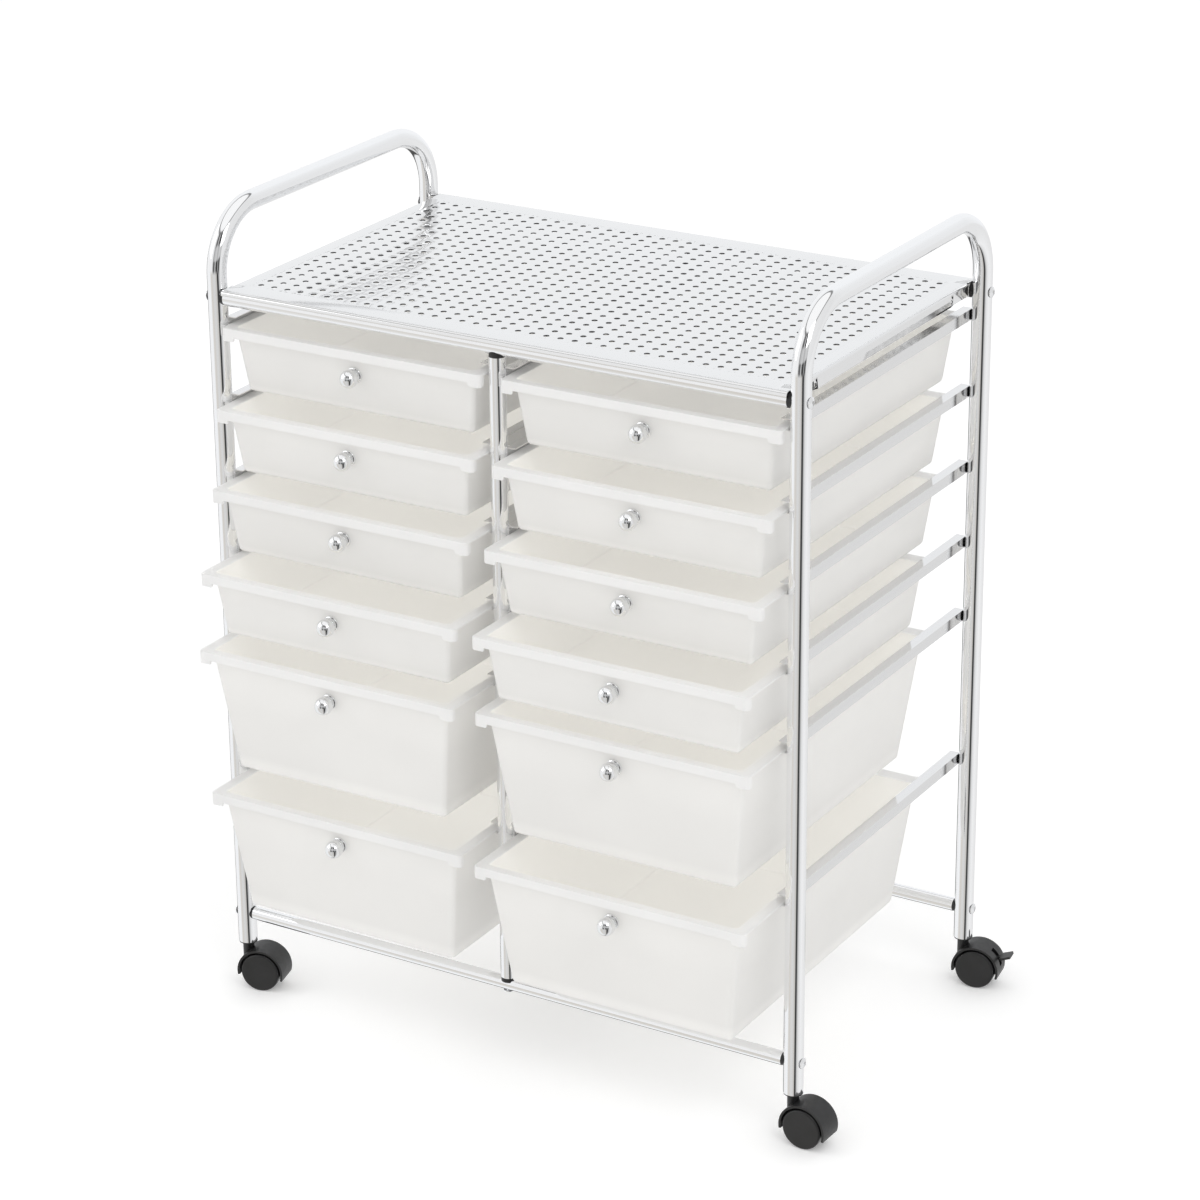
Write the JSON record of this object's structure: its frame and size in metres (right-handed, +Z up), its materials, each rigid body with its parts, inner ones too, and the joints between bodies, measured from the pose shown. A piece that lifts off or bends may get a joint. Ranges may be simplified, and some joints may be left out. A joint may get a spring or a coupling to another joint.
{
  "type": "rolling storage cart",
  "caption": "Chromed tube cart on swivel casters with two columns of translucent pull-out drawers, a perforated metal top shelf and raised side handles.",
  "frame": {"origin": "under the middle of the whole cart's box, on the floor that its wheels stand on", "axes": "+Z up, +Y from the drawers' fronts to the rear, +X to the right as seen from the front"},
  "size_m": [0.6844, 0.4616, 0.8163],
  "materials": {
    "tube_chrome": "polished",
    "rail_chrome": "polished",
    "shelf_chrome": "polished sheet",
    "screw_steel": "plated",
    "frosted_plastic": "frosted, translucent",
    "knob_metal": "polished",
    "black_plastic": "satin",
    "caster_plastic": "satin",
    "wheel_plastic": "satin",
    "pin_steel": "plain"
  },
  "bodies": {
    "frame": {"left_side_tube": "tube_chrome", "right_side_tube": "tube_chrome", "front_top_tube": "tube_chrome", "rear_top_tube": "tube_chrome", "front_bottom_tube": "tube_chrome", "rear_bottom_tube": "tube_chrome", "front_centre_post": "tube_chrome", "rear_centre_post": "tube_chrome", "top_shelf": "shelf_chrome", "left_rails": "rail_chrome", "left_centre_rails": "rail_chrome", "right_centre_rails": "rail_chrome", "right_rails": "rail_chrome", "tube_end_plugs": "black_plastic", "frame_screws": "screw_steel", "post_inserts": "black_plastic"},
    "left_one_drawer": {"left_one_tray": "frosted_plastic", "left_one_knob": "knob_metal"},
    "left_two_drawer": {"left_two_tray": "frosted_plastic", "left_two_knob": "knob_metal"},
    "left_three_drawer": {"left_three_tray": "frosted_plastic", "left_three_knob": "knob_metal"},
    "left_four_drawer": {"left_four_tray": "frosted_plastic", "left_four_knob": "knob_metal"},
    "left_five_drawer": {"left_five_tray": "frosted_plastic", "left_five_knob": "knob_metal"},
    "left_six_drawer": {"left_six_tray": "frosted_plastic", "left_six_knob": "knob_metal"},
    "right_one_drawer": {"right_one_tray": "frosted_plastic", "right_one_knob": "knob_metal"},
    "right_two_drawer": {"right_two_tray": "frosted_plastic", "right_two_knob": "knob_metal"},
    "right_three_drawer": {"right_three_tray": "frosted_plastic", "right_three_knob": "knob_metal"},
    "right_four_drawer": {"right_four_tray": "frosted_plastic", "right_four_knob": "knob_metal"},
    "right_five_drawer": {"right_five_tray": "frosted_plastic", "right_five_knob": "knob_metal"},
    "right_six_drawer": {"right_six_tray": "frosted_plastic", "right_six_knob": "knob_metal"},
    "front_left_caster": {"front_left_caster_housing": "caster_plastic", "front_left_caster_pins": "pin_steel"},
    "front_left_near_wheel": {"front_left_near_wheel": "wheel_plastic"},
    "front_left_far_wheel": {"front_left_far_wheel": "wheel_plastic"},
    "front_right_caster": {"front_right_caster_housing": "caster_plastic", "front_right_caster_pins": "pin_steel"},
    "front_right_near_wheel": {"front_right_near_wheel": "wheel_plastic"},
    "front_right_far_wheel": {"front_right_far_wheel": "wheel_plastic"},
    "rear_left_caster": {"rear_left_caster_housing": "caster_plastic", "rear_left_caster_pins": "pin_steel"},
    "rear_left_near_wheel": {"rear_left_near_wheel": "wheel_plastic"},
    "rear_left_far_wheel": {"rear_left_far_wheel": "wheel_plastic"},
    "rear_left_brake_lever": {"rear_left_brake_lever": "caster_plastic"},
    "rear_right_caster": {"rear_right_caster_housing": "caster_plastic", "rear_right_caster_pins": "pin_steel"},
    "rear_right_near_wheel": {"rear_right_near_wheel": "wheel_plastic"},
    "rear_right_far_wheel": {"rear_right_far_wheel": "wheel_plastic"},
    "rear_right_brake_lever": {"rear_right_brake_lever": "caster_plastic"}
  },
  "joints": [
    {"name": "left_one_drawer_slide", "type": "slide", "parent": "frame", "child": "left_one_drawer", "axis": [0, -1, 0], "range_m": [0, 0.3]},
    {"name": "left_two_drawer_slide", "type": "slide", "parent": "frame", "child": "left_two_drawer", "axis": [0, -1, 0], "range_m": [-0.015, 0.285]},
    {"name": "left_three_drawer_slide", "type": "slide", "parent": "frame", "child": "left_three_drawer", "axis": [0, -1, 0], "range_m": [-0.028, 0.272]},
    {"name": "left_four_drawer_slide", "type": "slide", "parent": "frame", "child": "left_four_drawer", "axis": [0, -1, 0], "range_m": [-0.052, 0.248]},
    {"name": "left_five_drawer_slide", "type": "slide", "parent": "frame", "child": "left_five_drawer", "axis": [0, -1, 0], "range_m": [-0.06, 0.24]},
    {"name": "left_six_drawer_slide", "type": "slide", "parent": "frame", "child": "left_six_drawer", "axis": [0, -1, 0], "range_m": [-0.052, 0.248]},
    {"name": "right_one_drawer_slide", "type": "slide", "parent": "frame", "child": "right_one_drawer", "axis": [0, -1, 0], "range_m": [0, 0.3]},
    {"name": "right_two_drawer_slide", "type": "slide", "parent": "frame", "child": "right_two_drawer", "axis": [0, -1, 0], "range_m": [-0.018, 0.282]},
    {"name": "right_three_drawer_slide", "type": "slide", "parent": "frame", "child": "right_three_drawer", "axis": [0, -1, 0], "range_m": [-0.034, 0.266]},
    {"name": "right_four_drawer_slide", "type": "slide", "parent": "frame", "child": "right_four_drawer", "axis": [0, -1, 0], "range_m": [-0.057, 0.243]},
    {"name": "right_five_drawer_slide", "type": "slide", "parent": "frame", "child": "right_five_drawer", "axis": [0, -1, 0], "range_m": [-0.055, 0.245]},
    {"name": "right_six_drawer_slide", "type": "slide", "parent": "frame", "child": "right_six_drawer", "axis": [0, -1, 0], "range_m": [-0.062, 0.238]},
    {"name": "front_left_caster_swivel", "type": "hinge", "parent": "frame", "child": "front_left_caster", "pos_m": [-0.3305, -0.15312, 0.04], "axis": [0, 0, 1], "continuous": true},
    {"name": "front_left_near_wheel_spin", "type": "hinge", "parent": "front_left_caster", "child": "front_left_near_wheel", "pos_m": [-0.31469, -0.14917, 0.02], "axis": [-0.2419, 0.9703, 0], "continuous": true},
    {"name": "front_left_far_wheel_spin", "type": "hinge", "parent": "front_left_caster", "child": "front_left_far_wheel", "pos_m": [-0.31469, -0.14917, 0.02], "axis": [-0.2419, 0.9703, 0], "continuous": true},
    {"name": "front_right_caster_swivel", "type": "hinge", "parent": "frame", "child": "front_right_caster", "pos_m": [0.2905, -0.15312, 0.04], "axis": [0, 0, 1], "continuous": true},
    {"name": "front_right_near_wheel_spin", "type": "hinge", "parent": "front_right_caster", "child": "front_right_near_wheel", "pos_m": [0.30678, -0.15368, 0.02], "axis": [0.0349, 0.9994, 0], "continuous": true},
    {"name": "front_right_far_wheel_spin", "type": "hinge", "parent": "front_right_caster", "child": "front_right_far_wheel", "pos_m": [0.30678, -0.15368, 0.02], "axis": [0.0349, 0.9994, 0], "continuous": true},
    {"name": "rear_left_caster_swivel", "type": "hinge", "parent": "frame", "child": "rear_left_caster", "pos_m": [-0.3305, 0.21088, 0.04], "axis": [0, 0, 1], "continuous": true},
    {"name": "rear_left_near_wheel_spin", "type": "hinge", "parent": "rear_left_caster", "child": "rear_left_near_wheel", "pos_m": [-0.31429, 0.21259, 0.02], "axis": [-0.1045, 0.9945, 0], "continuous": true},
    {"name": "rear_left_far_wheel_spin", "type": "hinge", "parent": "rear_left_caster", "child": "rear_left_far_wheel", "pos_m": [-0.31429, 0.21259, 0.02], "axis": [-0.1045, 0.9945, 0], "continuous": true},
    {"name": "rear_left_brake_lever_pivot", "type": "hinge", "parent": "rear_left_caster", "child": "rear_left_brake_lever", "pos_m": [-0.30193, 0.21389, 0.02839], "axis": [-0.1045, 0.9945, 0], "range_deg": [0, 15]},
    {"name": "rear_right_caster_swivel", "type": "hinge", "parent": "frame", "child": "rear_right_caster", "pos_m": [0.2905, 0.21088, 0.04], "axis": [0, 0, 1], "continuous": true},
    {"name": "rear_right_near_wheel_spin", "type": "hinge", "parent": "rear_right_caster", "child": "rear_right_near_wheel", "pos_m": [0.30659, 0.21344, 0.02], "axis": [-0.1564, 0.9877, 0], "continuous": true},
    {"name": "rear_right_far_wheel_spin", "type": "hinge", "parent": "rear_right_caster", "child": "rear_right_far_wheel", "pos_m": [0.30659, 0.21344, 0.02], "axis": [-0.1564, 0.9877, 0], "continuous": true},
    {"name": "rear_right_brake_lever_pivot", "type": "hinge", "parent": "rear_right_caster", "child": "rear_right_brake_lever", "pos_m": [0.31888, 0.21538, 0.02839], "axis": [-0.1564, 0.9877, 0], "range_deg": [0, 15]}
  ]
}
